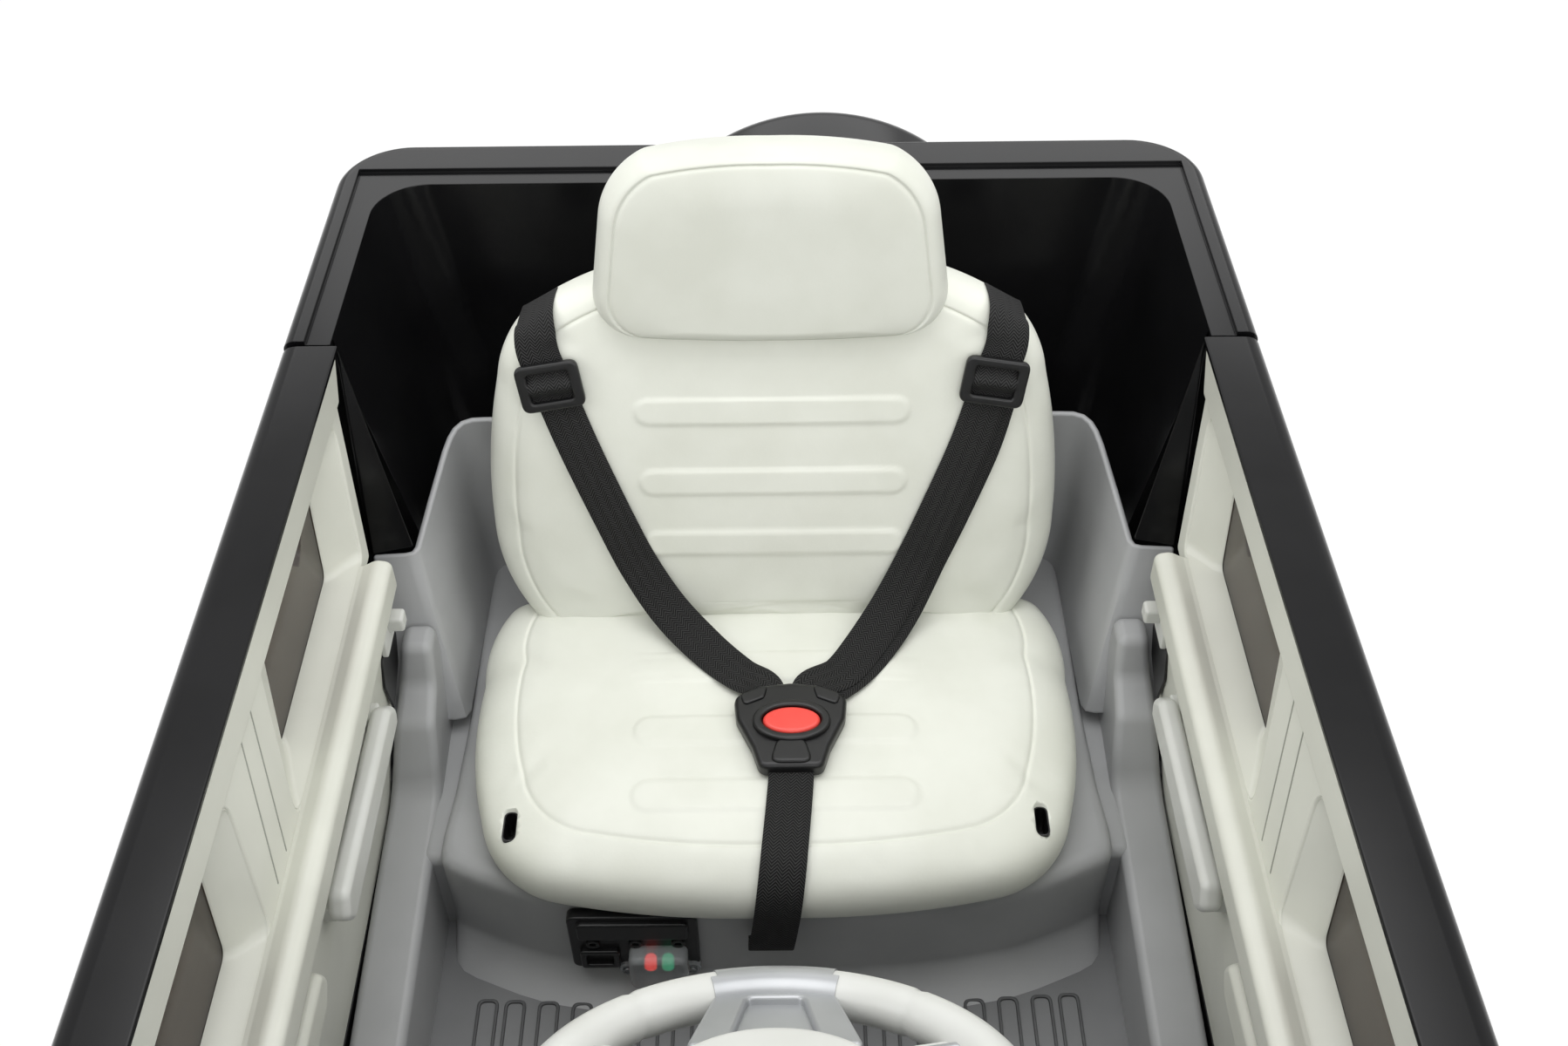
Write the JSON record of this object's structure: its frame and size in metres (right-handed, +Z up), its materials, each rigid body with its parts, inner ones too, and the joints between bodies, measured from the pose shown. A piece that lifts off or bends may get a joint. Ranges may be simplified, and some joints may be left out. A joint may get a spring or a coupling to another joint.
{
  "type": "electric ride-on car",
  "caption": "Child's battery-powered ride-on off-roader with an open cabin, hinged doors, padded seat with harness, steering wheel and steered front wheels.",
  "frame": {"origin": "on the ground under the middle of the car", "axes": "+X to the driver's left, -Y towards the nose, +Z up"},
  "size_m": [0.724, 1.16, 0.5795],
  "materials": {
    "black_gloss": "glossy injection-moulded black",
    "black_satin": "satin black moulding",
    "grey_plastic": "mid-grey satin moulding with a fine grain",
    "cream_plastic": "cream satin moulding",
    "cream_leatherette": "cream coated fabric, fine grain",
    "silver_paint": "silver-painted moulding",
    "webbing": "black woven polyester webbing",
    "red_plastic": "glossy red moulding",
    "smoked_glass": "smoked brown clear plastic",
    "clear_plastic": "clear moulded plastic",
    "red_lens": "red clear moulding",
    "tyre_plastic": "matte black soft wheel tread",
    "rim_silver": "silver wheel centre",
    "steel": "zinc-plated steel"
  },
  "bodies": {
    "car_body": {"chassis_pan": "black_satin", "floor_tub": "grey_plastic", "seat_surround": "grey_plastic", "rear_body_shell": "black_gloss", "spare_wheel_cover": "black_gloss", "rear_bumper": "black_satin", "tail_lights": "red_lens", "front_fenders": "black_gloss", "hood": "black_gloss", "front_grille": "black_satin", "front_bumper": "black_satin", "headlight_lenses": "clear_plastic", "side_steps": "black_satin", "dashboard": "grey_plastic", "windscreen_frame": "black_gloss", "windscreen_pane": "clear_plastic", "rear_axle": "steel", "gear_motors": "black_satin", "seat_cushion": "cream_leatherette", "seat_back": "cream_leatherette", "headrest": "cream_leatherette", "seat_screws": "steel", "shoulder_straps": "webbing", "crotch_strap": "webbing", "strap_adjusters": "black_satin", "buckle_body": "black_satin", "charge_panel": "black_satin", "charge_indicator_cover": "clear_plastic", "battery": "black_satin", "control_box": "black_satin"},
    "steering_wheel": {"steering_rim": "cream_plastic", "steering_hub": "cream_plastic", "steering_column": "steel"},
    "horn": {"horn_button": "cream_plastic"},
    "tie_rod": {"tie_rod": "steel"},
    "knuckle_left": {"knuckle_left": "steel"},
    "knuckle_right": {"knuckle_right": "steel"},
    "pedal": {"accelerator_pedal": "black_satin"},
    "start_button": {"start_button": "red_plastic"},
    "buckle_button": {"buckle_button": "red_plastic"},
    "front_left_wheel": {"front_left_tyre": "tyre_plastic", "front_left_rim": "rim_silver"},
    "front_right_wheel": {"front_right_tyre": "tyre_plastic", "front_right_rim": "rim_silver"},
    "rear_left_wheel": {"rear_left_tyre": "tyre_plastic", "rear_left_rim": "rim_silver"},
    "rear_right_wheel": {"rear_right_tyre": "tyre_plastic", "rear_right_rim": "rim_silver"},
    "door_left": {"door_skin_left": "black_gloss", "door_panel_left": "cream_plastic", "door_windows_left": "smoked_glass", "door_pull_left": "cream_plastic", "mirror_left": "black_gloss"},
    "latch_left": {"door_latch_left": "cream_plastic"},
    "door_right": {"door_skin_right": "black_gloss", "door_panel_right": "cream_plastic", "door_windows_right": "smoked_glass", "door_pull_right": "cream_plastic", "mirror_right": "black_gloss"},
    "latch_right": {"door_latch_right": "cream_plastic"}
  },
  "joints": [
    {"name": "steering_turn", "type": "hinge", "parent": "car_body", "child": "steering_wheel", "pos_m": [0, -0.156, 0.403], "axis": [0, 0.5736, 0.8192], "range_deg": [-40, 40]},
    {"name": "horn_press", "type": "slide", "parent": "steering_wheel", "child": "horn", "axis": [0, -0.5736, -0.8192], "range_m": [0, 0.0025], "stiffness_N_per_m": 600},
    {"name": "tie_rod_slide", "type": "slide", "parent": "car_body", "child": "tie_rod", "axis": [-1, 0, 0], "range_m": [-0.023, 0.023]},
    {"name": "pedal_press", "type": "hinge", "parent": "car_body", "child": "pedal", "pos_m": [-0.09, -0.112, 0.138], "axis": [1, 0, 0], "range_deg": [0, 12], "stiffness_Nm_per_rad": 4, "springref_deg": -2.86},
    {"name": "start_press", "type": "slide", "parent": "car_body", "child": "start_button", "axis": [0, -1, 0], "range_m": [0, 0.003], "stiffness_N_per_m": 500},
    {"name": "buckle_press", "type": "slide", "parent": "car_body", "child": "buckle_button", "axis": [0, 0, -1], "range_m": [0, 0.002], "stiffness_N_per_m": 600, "springref_m": -0.0005},
    {"name": "steer_left", "type": "hinge", "parent": "car_body", "child": "knuckle_left", "pos_m": [0.205, -0.385, 0.125], "axis": [0, 0, 1], "range_deg": [-22.5, 22.5]},
    {"name": "front_left_spin", "type": "hinge", "parent": "knuckle_left", "child": "front_left_wheel", "pos_m": [0.205, -0.385, 0.125], "axis": [1, 0, 0], "continuous": true},
    {"name": "rear_left_spin", "type": "hinge", "parent": "car_body", "child": "rear_left_wheel", "pos_m": [0.205, 0.335, 0.125], "axis": [1, 0, 0], "continuous": true},
    {"name": "door_left_swing", "type": "hinge", "parent": "car_body", "child": "door_left", "pos_m": [0.305, -0.236, 0.3], "axis": [0, 0, -1], "range_deg": [0, 60]},
    {"name": "latch_left_slide", "type": "slide", "parent": "door_left", "child": "latch_left", "axis": [0, -1, 0], "range_m": [0, 0.008], "stiffness_N_per_m": 150},
    {"name": "steer_right", "type": "hinge", "parent": "car_body", "child": "knuckle_right", "pos_m": [-0.205, -0.385, 0.125], "axis": [0, 0, 1], "range_deg": [-22.5, 22.5]},
    {"name": "front_right_spin", "type": "hinge", "parent": "knuckle_right", "child": "front_right_wheel", "pos_m": [-0.205, -0.385, 0.125], "axis": [1, 0, 0], "continuous": true},
    {"name": "rear_right_spin", "type": "hinge", "parent": "car_body", "child": "rear_right_wheel", "pos_m": [-0.205, 0.335, 0.125], "axis": [1, 0, 0], "continuous": true},
    {"name": "door_right_swing", "type": "hinge", "parent": "car_body", "child": "door_right", "pos_m": [-0.305, -0.236, 0.3], "axis": [0, 0, 1], "range_deg": [0, 60]},
    {"name": "latch_right_slide", "type": "slide", "parent": "door_right", "child": "latch_right", "axis": [0, -1, 0], "range_m": [0, 0.008], "stiffness_N_per_m": 150}
  ],
  "couplings": [
    {"joint": "tie_rod_slide", "follows": "steering_turn", "m_per_rad": 0.032229},
    {"joint": "steer_left", "follows": "steering_turn", "ratio": 0.55},
    {"joint": "steer_right", "follows": "steering_turn", "ratio": 0.55}
  ]
}
